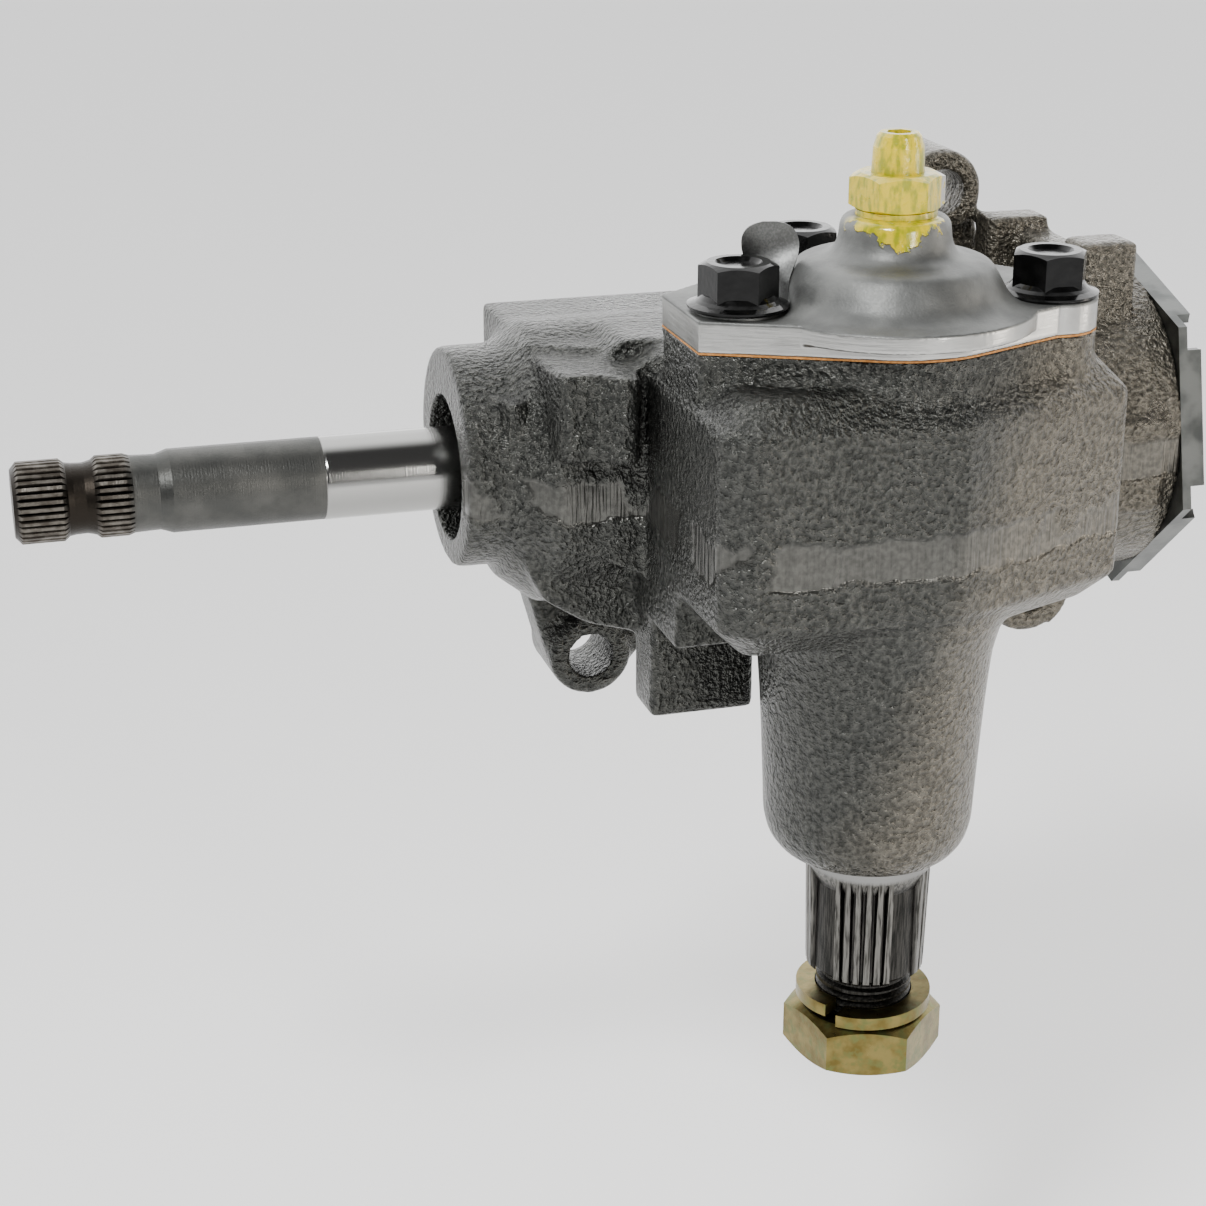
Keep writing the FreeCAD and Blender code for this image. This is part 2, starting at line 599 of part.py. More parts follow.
def worm_adjuster_plug():
    """Threaded plug: a recess inside holds the cup, a stepped recess outside takes the wrench."""
    seat, end = d.bearing_x + 5.0, d.barrel_end + 7.0
    radius = d.plug_radius
    blank = turned("plug_blank", [
        (seat, d.cup_radius), (seat, radius - 1), (seat + 1, radius), (end - 1.2, radius), (end, radius - 1.2),
        (end, 24), (end - 11, 22), (end - 11, 0), (seat + 12, 0), (seat + 12, 11),
        (d.bearing_x + d.cup_length, 11), (d.bearing_x + d.cup_length, d.cup_radius)], "x")
    slots = [box((end - 6.0, -3.5, -40), (end + 1.0, 3.5, 40)), box((end - 6.0, -40, -3.5), (end + 1.0, 40, 3.5))]
    return cut(blank, *slots)


def lower_bearing_retainer():
    inner = d.bearing_x
    return turned("lower_bearing_retainer", [(inner + 1.0, d.cup_radius + 0.0), (inner + 1.0, 24.0),
                                             (inner + 4.9, 24.0), (inner + 4.9, d.cup_radius)], "x")


LOCK_NUT_CORNER = 47.5


def worm_adjuster_lock_nut():
    """Stamped ring with six sides; each side is bent outwards, with a notch at each corner."""
    start, thick, flats, depth = d.lock_nut_x, d.lock_nut_thick, d.lock_nut_flats, d.lock_nut_depth
    sides = 6
    corner = 1 / (2 * math.cos(math.pi / sides))

    def bar(across, low, length):
        obj = doc.addObject("Part::Prism", "Octagon")
        obj.Polygon = sides
        bind(obj, Circumradius=across * corner, Height=length)
        return place(obj, (low, 0, 0), TURN["x"].multiply(FreeCAD.Rotation(V(0, 0, 1), LOCK_NUT_CORNER)))

    shell = cut(bar(flats, start, depth), bar(flats - thick * 2, start + thick, depth))
    hole = cylinder(d.plug_radius + 0.05, 30.0, (start - 5.0, 0, 0), "x")
    notches = []
    for index in range(sides):
        angle = 360.0 * index / sides + LOCK_NUT_CORNER
        spot = TURN["x"].multVec(polar(flats.value * corner - 0.5, angle))
        notches.append(Part.makeCylinder(5.2, 20, spot + V(start.value + thick.value, 0, 0), V(1, 0, 0)))
    return cut(shell, hole, fixed(Part.makeCompound(notches), "Notches"))


# ---- ball nut and its circuits ----

CIRCUIT_TURNS = 1.5


def rack_gaps():
    """Three tooth spaces of the rack, wider by the backlash than the sector's teeth."""
    pitch = math.pi * d.gear_module.value
    slope = math.tan(math.radians(d.pressure_angle.value))
    line, width = d.pitch_radius.value - d.centre_distance.value, d.gear_half_width.value
    deep, out = line + d.dedendum.value, line - d.addendum.value - 1.0
    backlash = 0.16
    gaps = []
    for index in (-1, 0, 1):
        half = pitch / 4 + backlash / 2
        bottom, top = half - slope * (deep - line), half + slope * (line - out)
        points = [V(index * pitch - top, out, -width - 1), V(index * pitch - bottom, deep, -width - 1),
                  V(index * pitch + bottom, deep, -width - 1), V(index * pitch + top, out, -width - 1)]
        gaps.append(Part.Face(Part.makePolygon(points + points[:1])).extrude(V(0, 0, 2 * width + 2)))
    return fixed(Part.makeCompound(gaps), "RackGaps")


def circuit_ends():
    """Where each of the two ball circuits starts (+Z side) and ends (-Z side) along X."""
    lead = d.ball_lead.value
    return [(-2.25 * lead, -0.75 * lead), (0.75 * lead, 2.25 * lead)]


def grooved_blank():
    """Nut blank with its bore and the helical ball groove, cut with Part's own functions."""
    half, width = d.nut_half_length.value, d.gear_half_width.value
    tips = d.pitch_radius.value - d.centre_distance.value - d.addendum.value
    blank = Part.makeBox(2 * half, d.nut_back.value - tips, 2 * width, V(-half, tips, -width))
    bored = blank.cut(Part.makeCylinder(d.nut_bore.value, 2 * half + 2, V(-half - 1, 0, 0), V(1, 0, 0)))
    coil = helix_tool(8, 0.0)
    coil.translate(V(-3.75 * d.ball_lead.value, 0, 0))
    grooved = bored.cut(coil)
    if bored.Volume - grooved.Volume < 1000:
        raise RuntimeError("the ball groove did not cut the nut")
    return fixed(grooved, "GroovedBlank")


def ball_nut():
    ports = []
    for first, last in circuit_ends():
        for x, z in ((first, d.ball_circle.value), (last, -d.ball_circle.value)):
            ports.append(Part.makeCylinder(d.groove_radius.value + 0.12, 30, V(x, 0, z), V(0, 1, 0)))
            ports.append(Part.makeCylinder(d.guide_radius.value, 30, V(x, GUIDE_SEAT, z), V(0, 1, 0)))
    screw_holes = [cylinder(CLAMP_SCREW_RADIUS, 6.0, (x, d.nut_back - 4.6, z), "y") for x, z in CLAMP_SCREWS]
    trimmed = cut(grooved_blank(), rack_gaps(), *screw_holes)
    return cut(trimmed, fixed(ports[0].multiFuse(ports[1:]), "Ports"))


CLAMP_SCREW_RADIUS = 1.5
CLAMP_SCREWS = ((-21.5, -10.6), (21.5, 10.6))
GUIDE_SEAT = 10.0
GUIDE_BEND = 4.2


def guide_path(first, last):
    """U bend outside the nut, from the +Z port at first to the -Z port at last."""
    reach, turn, top = d.ball_circle.value, GUIDE_BEND, d.nut_back.value
    slant = V(last - first, 0, -2 * reach)
    slant.normalize()
    corners = [V(first, GUIDE_SEAT, reach), V(first, top + turn, reach), V(last, top + turn, -reach),
               V(last, GUIDE_SEAT, -reach)]
    middle = math.sqrt(0.5)
    start_bend = corners[1] - V(0, turn, 0)
    end_bend = corners[2] - V(0, turn, 0)
    centre = start_bend + slant * turn
    other = end_bend - slant * turn
    first_arc = Part.Arc(start_bend, centre + (V(0, 1, 0) - slant) * (turn * middle), corners[1] + slant * turn)
    second_arc = Part.Arc(corners[2] - slant * turn, other + (V(0, 1, 0) + slant) * (turn * middle), end_bend)
    edges = [Part.makeLine(corners[0], start_bend), first_arc.toShape(),
             Part.makeLine(corners[1] + slant * turn, corners[2] - slant * turn), second_arc.toShape(),
             Part.makeLine(end_bend, corners[3])]
    return Part.Wire(edges)


def ball_guide(index):
    first, last = circuit_ends()[index]
    path = guide_path(first, last)
    start = V(first, GUIDE_SEAT, d.ball_circle.value)
    outer, inner = [
        path.makePipeShell([Part.Wire(Part.makeCircle(radius, start, V(0, 1, 0)))], True, False)
        for radius in (d.guide_radius.value - 0.02, d.groove_radius.value)]
    return fixed(outer.cut(inner), "Guide")


def circuit_balls():
    """Balls in the helical part of both circuits and along both guides."""
    lead, reach, radius = d.ball_lead.value, d.ball_circle.value, d.ball_radius.value
    arc_length = CIRCUIT_TURNS * math.hypot(2 * math.pi * reach, lead)
    count = int(arc_length / (2 * radius + 0.06))
    balls = []
    for first, last in circuit_ends():
        for index in range(count):
            share = (index + 0.5) / count
            angle = 2 * math.pi * CIRCUIT_TURNS * share
            centre = V(first + (last - first) * share, reach * math.sin(angle) * CIRCUIT_SENSE,
                       reach * math.cos(angle))
            balls.append(Part.makeSphere(radius, centre))
        for centre in guide_path(first, last).discretize(Number=7)[1:-1]:
            balls.append(Part.makeSphere(radius, centre))
    return fixed(Part.makeCompound(balls), "CircuitBalls")


CIRCUIT_SENSE = -1


def guide_clamp():
    """Strap bent over both guides; its two feet reach the nut's free corners and are screwed down there."""
    back, thick = d.nut_back, 1.0
    top, half, step = back + 8.3, 26.0, 24.6
    strap = prism([(-half, back), (-step, back), (-step, top), (step, top), (step, back), (half, back),
                   (half, top + thick), (-half, top + thick)], "XY", -3.0, 6.0)
    feet = [box((-half, back, -13.6), (-16.4, back + thick, -2.0)), box((16.4, back, 2.0), (half, back + thick, 13.6))]
    gaps = [cylinder(d.guide_radius, 4.0, (x, back - 1.0, z), "y")
            for x, z in ((-20.027, 12.0), (20.027, -12.0))]
    holes = [cylinder(CLAMP_SCREW_RADIUS, 6.0, (x, back - 1.0, z), "y") for x, z in CLAMP_SCREWS]
    return cut(fuse(strap, *feet), *gaps, *holes)


def guide_clamp_screws():
    low = d.nut_back + 1.0
    screws = []
    for x, z in CLAMP_SCREWS:
        shank = cylinder(CLAMP_SCREW_RADIUS - 0.03, 5.2, (x, low - 5.2, z), "y")
        head = cylinder(2.5, 1.8, (x, low, z), "y")
        slot = box((x - 3.0, low + 1.0, z - 0.4), (x + 3.0, low + 2.0, z + 0.4))
        screws.append(cut(fuse(shank, head), slot))
    group = doc.addObject("Part::Compound", "ClampScrews")
    group.Links = screws
    return group


# ---- output side ----

def sector_teeth():
    """Three involute teeth about +Y, cut to the sector's width."""
    pitch, module = d.pitch_radius.value, d.gear_module.value
    pressure = math.radians(d.pressure_angle.value)
    base, tip, root = pitch * math.cos(pressure), pitch + d.addendum.value - 0.3, pitch - d.dedendum.value
    teeth = round(2 * pitch / module)
    half_tooth = math.pi / (2 * teeth) - 0.0012

    def involute(angle):
        return math.tan(angle) - angle

    def flank(radius, side, centre):
        angle = math.acos(min(1.0, base / radius))
        swing = half_tooth + involute(pressure) - involute(angle)
        return polar(radius, math.degrees(centre + side * swing))

    steps = 8
    low = max(base, root)
    radii = [low + (tip - low) * index / steps for index in range(steps + 1)]
    solids = []
    for index in (-1, 0, 1):
        centre = math.pi / 2 + index * 2 * math.pi / teeth
        rising = Part.BSplineCurve()
        rising.interpolate([flank(radius, -1, centre) for radius in radii])
        falling = Part.BSplineCurve()
        falling.interpolate([flank(radius, 1, centre) for radius in reversed(radii)])
        right_foot, left_foot = flank(low, -1, centre), flank(low, 1, centre)
        inner = 0.72
        tip_arc = Part.Arc(flank(tip, -1, centre), polar(tip, math.degrees(centre)), flank(tip, 1, centre))
        edges = [Part.makeLine(right_foot * inner, right_foot), rising.toShape(), tip_arc.toShape(),
                 falling.toShape(), Part.makeLine(left_foot, left_foot * inner),
                 Part.makeLine(left_foot * inner, right_foot * inner)]
        face = Part.Face(Part.Wire(edges))
        solids.append(face.extrude(V(0, 0, 2 * d.gear_half_width.value)))
    teeth_shape = Part.makeCompound(solids)
    teeth_shape.translate(V(0, 0, -d.gear_half_width.value))
    return fixed(teeth_shape, "SectorTeeth")


def sector_web():
    """Root body of the sector: a fan from the shaft out to the tooth roots."""
    root, width = d.pitch_radius.value - d.dedendum.value, d.gear_half_width.value
    spread = 1.5 * 360 / 13 + 1.0
    ends = [polar(root, 90 - spread), polar(root, 90 + spread)]
    arc = Part.Arc(ends[0], polar(root, 90), ends[1]).toShape()
    inner = [polar(16.5, 185), polar(16.5, -5)]
    edges = [arc, Part.makeLine(ends[1], inner[0]), Part.makeLine(inner[0], inner[1]), Part.makeLine(inner[1], ends[0])]
    face = Part.Face(Part.Wire(edges))
    face.translate(V(0, 0, -width))
    return fixed(face.extrude(V(0, 0, 2 * width)), "SectorWeb")


OUTPUT_PITCHES = 36


def output_splines():
    """Eight teeth and one wide tooth in each quarter, drawn as one sketch's worth and turned four times."""
    root, tip, low, high = d.spline_root.value - 0.3, 14.6, -d.spline_foot.value, -d.spline_top.value
    step = 2 * math.pi / OUTPUT_PITCHES
    tooth = []
    for quarter in range(4):
        for index in range(9):
            wide = index == 8
            centre = quarter * math.pi / 2 + step * index + WIDE_TOOTH_ANGLE
            foot, crest = (0.46, 0.20) if not wide else (0.62, 0.46)
            corners = [(root, centre - foot * step), (tip, centre - crest * step), (tip, centre + crest * step),
                       (root, centre + foot * step)]
            points = [V(r * math.cos(a), r * math.sin(a), low) for r, a in corners]
            face = Part.Face(Part.makePolygon(points + points[:1]))
            tooth.append(face.extrude(V(0, 0, high - low)))
    return fixed(Part.makeCompound(tooth), "OutputTeeth")


WIDE_TOOTH_ANGLE = math.radians(-150.0)


def sector_shaft():
    journal, top = d.journal, d.journal_top
    spline_top, foot, root = d.spline_top, d.spline_foot, d.spline_root
    width, thread = d.gear_half_width, d.thread_radius
    core = turned("sector_core", [
        (0, top), (journal - 1, top), (journal, top - 1), (journal, width), (17.5, width), (17.5, -width),
        (journal, -width), (journal, -spline_top), (root, -spline_top - 3.6), (root, -foot + 1.2),
        (root - 1.2, -foot), (thread - 0.9, -foot - 0.6), (thread - 0.9, -foot - 1.8), (thread, -foot - 2.4),
        (thread, -131.0), (thread - 1.2, -132.2), (0, -132.2)])
    envelope = turned("spline_envelope", [(0, -spline_top + 1), (journal, -spline_top + 1),
                                          (journal, -spline_top - 2), (13.7, -108), (13.6, -foot + 1.0),
                                          (12.6, -foot), (0, -foot)])
    teeth = common(output_splines(), envelope)
    half_neck, half_head = d.stud_radius + 0.3, 8.15
    slot = [box((-20, -half_neck, top - 3.0), (20, half_neck, top + 1.0)),
            box((-20, -half_head, top - 5.3), (20, half_head, top - 1.8))]
    solid = fuse(core, sector_web(), sector_teeth(), teeth)
    thread_groove = fixed(thread_tool(thread.value, 1.814, -foot.value - 3.2, 10))
    return cut(solid, thread_groove, *slot)


def thread_tool(radius, pitch, top, turns):
    """Vee groove wound down a thread of the given outer radius."""
    depth = 0.62 * pitch
    helix = Part.makeHelix(pitch, pitch * turns, radius)
    points = [V(radius - depth, 0, 0), V(radius + 0.3, 0, 0.5 * pitch), V(radius + 0.3, 0, -0.5 * pitch)]
    coil = Part.Wire(helix.Edges).makePipeShell([Part.makePolygon(points + points[:1])], True, True)
    coil.translate(V(0, 0, top - pitch * turns))
    return coil


def arm_nut():
    hexed = hexagon("arm_nut_blank", d.arm_nut_flats, -d.arm_nut_bottom, -d.arm_nut_top, -17.6, 1.9)
    return cut(hexed, cylinder(d.thread_radius + 0.05, 20.0, (0, 0, -d.arm_nut_bottom - 2.0)))


def arm_lock_washer():
    """One turn of square-sectioned coil with a gap, its upper end standing proud."""
    inner, outer, thick, rise = d.thread_radius.value + 0.25, d.lock_washer_radius.value, 3.0, 1.9
    bottom = -d.arm_nut_top.value + 0.02
    section = [V(inner, 0, 0), V(outer, 0, 0), V(outer, 0, thick), V(inner, 0, thick)]
    helix = Part.makeHelix(rise, rise * 350 / 360, (inner + outer) / 2)
    ring = Part.Wire(helix.Edges).makePipeShell([Part.makePolygon(section + section[:1])], True, True)
    ring.translate(V(0, 0, bottom))
    ring.rotate(V(), V(0, 0, 1), WASHER_GAP_ANGLE)
    return fixed(ring, "Washer")


WASHER_GAP_ANGLE = 225.0


def sector_seal():
    inner, outer = d.journal + d.running_gap, 17.55
    low, high = -d.tube_bottom + 0.5, -d.tube_bottom + 8.0
    return turned("sector_shaft_seal", [(inner + 1.8, low), (outer, low), (outer, high), (inner + 1.6, high),
                                        (inner, high - 2.4), (inner, high - 3.2), (inner + 1.6, low + 1.6)])


def housing_bushing(label, low, high):
    inner, outer = d.journal + d.running_gap, d.bushing_radius
    return turned(label, [(inner, low), (outer, low), (outer, high), (inner, high)])


# ---- assembly ----

def build():
    on_sector_axis("gear_housing", gear_housing())
    on_sector_axis("side_cover", side_cover())
    on_sector_axis("side_cover_gasket", side_cover_gasket())
    on_sector_axis("cover_bolts", cover_bolts())
    on_sector_axis("identification_strip", identification_strip())
    on_sector_axis("side_cover_bushing", side_cover_bushing())
    on_sector_axis("upper_housing_bushing", housing_bushing("upper_housing_bushing", -40.0, -20.5))
    on_sector_axis("lower_housing_bushing", housing_bushing("lower_housing_bushing", -71.5, -51.0))
    on_sector_axis("sector_shaft_seal", sector_seal())
    on_sector_axis("sector_shaft", sector_shaft())
    on_sector_axis("arm_nut", arm_nut())
    on_sector_axis("arm_lock_washer", arm_lock_washer())
    on_sector_axis("lash_adjuster_screw", lash_adjuster_screw())
    on_sector_axis("lash_adjuster_shim", lash_adjuster_shim())
    on_sector_axis("adjuster_lock_nut", adjuster_lock_nut())
    on_worm_axis("worm_shaft", worm_shaft())
    on_worm_axis("worm_end_race", worm_end_race())
    on_worm_axis("worm_shaft_seal", worm_shaft_seal())
    on_worm_axis("upper_bearing_cup", bearing_cup("upper_cup_ring", -1))
    on_worm_axis("upper_bearing_balls", bearing_balls(-1))
    on_worm_axis("upper_bearing_cage", bearing_cage("upper_cage_ring", -1))
    on_worm_axis("lower_bearing_cup", bearing_cup("lower_cup_ring", 1))
    on_worm_axis("lower_bearing_balls", bearing_balls(1))
    on_worm_axis("lower_bearing_cage", bearing_cage("lower_cage_ring", 1))
    on_worm_axis("lower_bearing_retainer", lower_bearing_retainer())
    on_worm_axis("worm_adjuster_plug", worm_adjuster_plug())
    on_worm_axis("worm_adjuster_lock_nut", worm_adjuster_lock_nut())
    on_worm_axis("ball_nut", ball_nut())
    on_worm_axis("circuit_balls", circuit_balls())
    on_worm_axis("front_ball_guide", ball_guide(0))
    on_worm_axis("rear_ball_guide", ball_guide(1))
    on_worm_axis("guide_clamp", guide_clamp())
    on_worm_axis("guide_clamp_screws", guide_clamp_screws())


def check_and_write():
    doc.recompute()
    failed = [obj.Name for obj in doc.Objects if "Invalid" in obj.State or "Error" in obj.State]
    if failed:
        raise RuntimeError("failed objects: " + ", ".join(failed))
    os.makedirs("parts", exist_ok=True)
    for obj in NODES:
        shape = obj.Shape
        if shape.isNull() or not shape.isValid() or not shape.Solids:
            raise RuntimeError("bad shape: " + obj.Label)
        shape.exportStep(f"parts/{obj.Label}.step")
        print(obj.Label, len(shape.Solids), round(shape.Volume))


build()
check_and_write()
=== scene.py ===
import json
import math

import bpy
import numpy as np
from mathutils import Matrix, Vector
from mathutils.bvhtree import BVHTree


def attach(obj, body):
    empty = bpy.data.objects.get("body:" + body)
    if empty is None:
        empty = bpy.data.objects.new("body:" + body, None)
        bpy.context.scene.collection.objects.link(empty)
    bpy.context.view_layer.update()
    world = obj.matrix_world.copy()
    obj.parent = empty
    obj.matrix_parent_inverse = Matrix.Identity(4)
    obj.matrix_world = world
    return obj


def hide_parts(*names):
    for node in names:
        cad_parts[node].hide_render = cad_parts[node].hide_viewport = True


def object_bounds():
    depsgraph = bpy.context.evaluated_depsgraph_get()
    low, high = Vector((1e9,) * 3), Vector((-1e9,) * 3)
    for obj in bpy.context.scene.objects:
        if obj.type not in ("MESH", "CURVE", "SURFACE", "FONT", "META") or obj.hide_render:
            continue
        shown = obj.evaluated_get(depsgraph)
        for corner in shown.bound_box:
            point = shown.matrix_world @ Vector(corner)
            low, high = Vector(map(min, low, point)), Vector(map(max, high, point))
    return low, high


# Steering gearbox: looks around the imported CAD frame. Metres, in the frame's own axes.

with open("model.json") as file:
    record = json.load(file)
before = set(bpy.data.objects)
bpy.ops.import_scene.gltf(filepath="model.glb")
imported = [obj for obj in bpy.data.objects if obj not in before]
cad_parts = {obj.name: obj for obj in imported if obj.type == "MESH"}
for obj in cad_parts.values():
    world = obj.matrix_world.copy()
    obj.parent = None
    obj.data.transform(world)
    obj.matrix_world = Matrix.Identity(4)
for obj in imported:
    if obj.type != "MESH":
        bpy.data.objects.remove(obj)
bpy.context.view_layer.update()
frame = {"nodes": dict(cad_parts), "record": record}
nodes = frame["nodes"]
scene = bpy.context.scene

MM = 0.001
PER_METRE = 1000.0
mounts = {mount["name"]: [value * PER_METRE for value in mount["pos_m"]]
          for mount in frame["record"]["mounts"]}
SECTOR_Y = mounts["output_spline"][1]
WORM_Y = mounts["input_spline"][1]

# Where tools cut the castings, in millimetres
TOP_FACE_Z = 39.3
TOP_FACE_REACH = 60.0
PLUG_BORE_X = 60.0
PLUG_BORE_RADIUS = 33.6
BARREL_END_X = 83.0
SEAL_BORE_X = -60.0
SEAL_BORE_RADIUS = 17.4
SHAFT_BORE_RADIUS = 17.9
REAR_FACE_Y = -0.4
LUG_HOLE_RADIUS = 6.1
LUG_FOOT_Y = -24.0
PLATE_TOP_Z = 46.6
STUD_HOLE_RADIUS = 6.2
PLATE_REACH = 30.2

# Where a finish changes along a piece, in millimetres
JOINT_LOW_Z = -3.0
JOINT_HIGH_Z = 6.5
CHAMBER_SIDE_Y = -60.0
PLATE_EDGE_LOW_Z = 40.0
PLATE_EDGE_HIGH_Z = 46.3
PAINT_FOOT_Z = 60.0
GROUND_START_X = -114.0
INPUT_SPLINE_X = -155.5
INPUT_CREST_RADIUS = 9.1
INPUT_VALLEY_RADIUS = 8.3
OUTPUT_SPLINE_Z = -83.0
OUTPUT_VALLEY_RADIUS = 12.9
OUTPUT_CREST_RADIUS = 13.8


# ---- camera and stage ----

CAMERA_TARGET = Vector((-0.0607, -0.0899, -0.0187))
CAMERA_DISTANCE = 0.5236
CAMERA_AZIMUTH = math.radians(-16.1)
CAMERA_ELEVATION = math.radians(20.6)
CAMERA_LENS = 71.64
LIGHT_CENTRE = Vector((0.0, -0.08, -0.01))
FLOOR_SIZE = 12.0
FLOOR_DROP = 0.12
BACKDROP_STRENGTH = 3.0
ROOM_STRENGTH = 0.10

# Each light: name, place, size, power in watts, colour
LIGHTS = (
    ("key", (-0.55, -0.65, 0.85), (0.24, 0.16), 13, (1, 1, 1)),
    ("front", (0.28, -1.1, 0.25), (0.14, 0.45), 5.5, (1, 0.97, 0.93)),
    ("fill", (1.0, -0.45, 0.1), (0.2, 0.6), 4.5, (1, 0.92, 0.82)),
)


def add_camera():
    data = bpy.data.cameras.new("camera")
    data.lens = CAMERA_LENS
    data.sensor_width = 36.0
    data.clip_start = 0.01
    camera = bpy.data.objects.new("camera", data)
    scene.collection.objects.link(camera)
    back = Vector((math.sin(CAMERA_AZIMUTH) * math.cos(CAMERA_ELEVATION),
                   -math.cos(CAMERA_AZIMUTH) * math.cos(CAMERA_ELEVATION), math.sin(CAMERA_ELEVATION)))
    camera.location = CAMERA_TARGET + back * CAMERA_DISTANCE
    camera.rotation_euler = back.to_track_quat("Z", "Y").to_euler()
    scene.camera = camera


def add_area(name, location, size, power, colour):
    data = bpy.data.lights.new(name, "AREA")
    data.shape = "RECTANGLE"
    data.size, data.size_y = size
    data.energy = power
    data.color = colour
    light = bpy.data.objects.new(name, data)
    light.location = location
    light.rotation_euler = (Vector(location) - LIGHT_CENTRE).to_track_quat("Z", "Y").to_euler()
    scene.collection.objects.link(light)


def light_room(tree):
    """Bright backdrop behind the gearbox, a dimmer room on the side it is looked at from."""
    place = tree.nodes.new("ShaderNodeTexCoord")
    parts = tree.nodes.new("ShaderNodeSeparateXYZ")
    fade = tree.nodes.new("ShaderNodeMapRange")
    fade.interpolation_type = "SMOOTHSTEP"
    fade.inputs["From Min"].default_value = -0.15
    fade.inputs["From Max"].default_value = 0.45
    fade.inputs["To Min"].default_value = ROOM_STRENGTH
    fade.inputs["To Max"].default_value = BACKDROP_STRENGTH
    tree.links.new(place.outputs["Generated"], parts.inputs[0])
    tree.links.new(parts.outputs["Y"], fade.inputs["Value"])
    tree.links.new(fade.outputs[0], tree.nodes["Background"].inputs["Strength"])
    tree.nodes["Background"].inputs["Color"].default_value = (1, 1, 1, 1)


def add_stage():
    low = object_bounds()[0]
    bpy.ops.mesh.primitive_plane_add(size=FLOOR_SIZE, location=(0, 0, low[2] - FLOOR_DROP))
    floor = bpy.context.object
    floor.name = "floor"
    material = bpy.data.materials.new("floor")
    material.use_nodes = True
    surface = material.node_tree.nodes["Principled BSDF"]
    surface.inputs["Base Color"].default_value = (0.95, 0.95, 0.95, 1)
    surface.inputs["Roughness"].default_value = 0.9
    floor.data.materials.append(material)
    world = bpy.data.worlds.new("studio")
    world.use_nodes = True
    light_room(world.node_tree)
    scene.world = world
    for light in LIGHTS:
        add_area(*light)


# ---- shader building blocks; every length below is in millimetres ----

class Shader:
    """One material: helpers that add a node, set its sockets and hand back its output."""

    def __init__(self, name):
        self.material = bpy.data.materials.new(name)
        self.material.use_nodes = True
        self.tree = self.material.node_tree
        self.surface = self.tree.nodes["Principled BSDF"]
        place = self.tree.nodes.new("ShaderNodeTexCoord").outputs["Object"]
        self.at = self.node("ShaderNodeVectorMath", {0: place, "Scale": PER_METRE}, operation="SCALE")
        apart = self.tree.nodes.new("ShaderNodeSeparateXYZ")
        self.feed(apart.inputs[0], self.at)
        self.x, self.y, self.z = apart.outputs

    def feed(self, socket, value):
        """Link an output to the socket, or set the socket; a colour is given without its alpha."""
        if isinstance(value, bpy.types.NodeSocket):
            self.tree.links.new(value, socket)
        elif isinstance(value, tuple) and socket.type == "RGBA":
            socket.default_value = value + (1.0,)
        else:
            socket.default_value = value

    def node(self, kind, sockets, **settings):
        made = self.tree.nodes.new(kind)
        for name, value in settings.items():
            setattr(made, name, value)
        for name, value in sockets.items():
            self.feed(made.inputs[name], value)
        return made.outputs[0]

    def stretched(self, x, y, z):
        """The place scaled along each axis, which draws noise out into strokes."""
        return self.node("ShaderNodeVectorMath", {0: self.at, 1: (x, y, z)}, operation="MULTIPLY")

    def math(self, operation, first, second=0.0):
        return self.node("ShaderNodeMath", {0: first, 1: second}, operation=operation)

    def add(self, first, second):
        return self.math("ADD", first, second)

    def times(self, first, second):
        return self.math("MULTIPLY", first, second)

    def hypot(self, first, second):
        return self.math("SQRT", self.add(self.math("POWER", first, 2.0), self.math("POWER", second, 2.0)))

    def noise(self, grain, detail=2.0, at=None):
        place = self.at if at is None else at
        sockets = {"Vector": place, "Scale": 1.0 / grain, "Detail": detail, "Roughness": 0.5}
        return self.node("ShaderNodeTexNoise", sockets)

    def step(self, value, low, high):
        """0 below low, 1 above high, smooth between; low may be the larger one."""
        sockets = {"Value": value, "From Min": low, "From Max": high, "To Min": 0.0, "To Max": 1.0}
        return self.node("ShaderNodeMapRange", sockets, interpolation_type="SMOOTHSTEP", clamp=True)

    def band(self, value, low, high, soft):
        rising = self.step(value, low - soft, low + soft)
        falling = self.step(value, high + soft, high - soft)
        return self.times(rising, falling)

    def mix(self, factor, first, second):
        return self.node("ShaderNodeMix", {"Factor": factor, "A": first, "B": second}, data_type="FLOAT")

    def blend(self, factor, first, second):
        made = self.tree.nodes.new("ShaderNodeMix")
        made.data_type = "RGBA"
        for socket, value in ((0, factor), (6, first), (7, second)):
            self.feed(made.inputs[socket], value)
        return made.outputs[2]

    def bump(self, height, depth, under=None):
        sockets = {"Height": height, "Distance": depth * MM, "Strength": 1.0}
        if under is not None:
            sockets["Normal"] = under
        return self.node("ShaderNodeBump", sockets)

    def finish(self, **sockets):
        names = {"colour": "Base Color", "metal": "Metallic", "rough": "Roughness", "normal": "Normal",
                 "coat": "Coat Weight", "specular": "Specular IOR Level"}
        for key, value in sockets.items():
            self.feed(self.surface.inputs[names[key]], value)
        return self.material


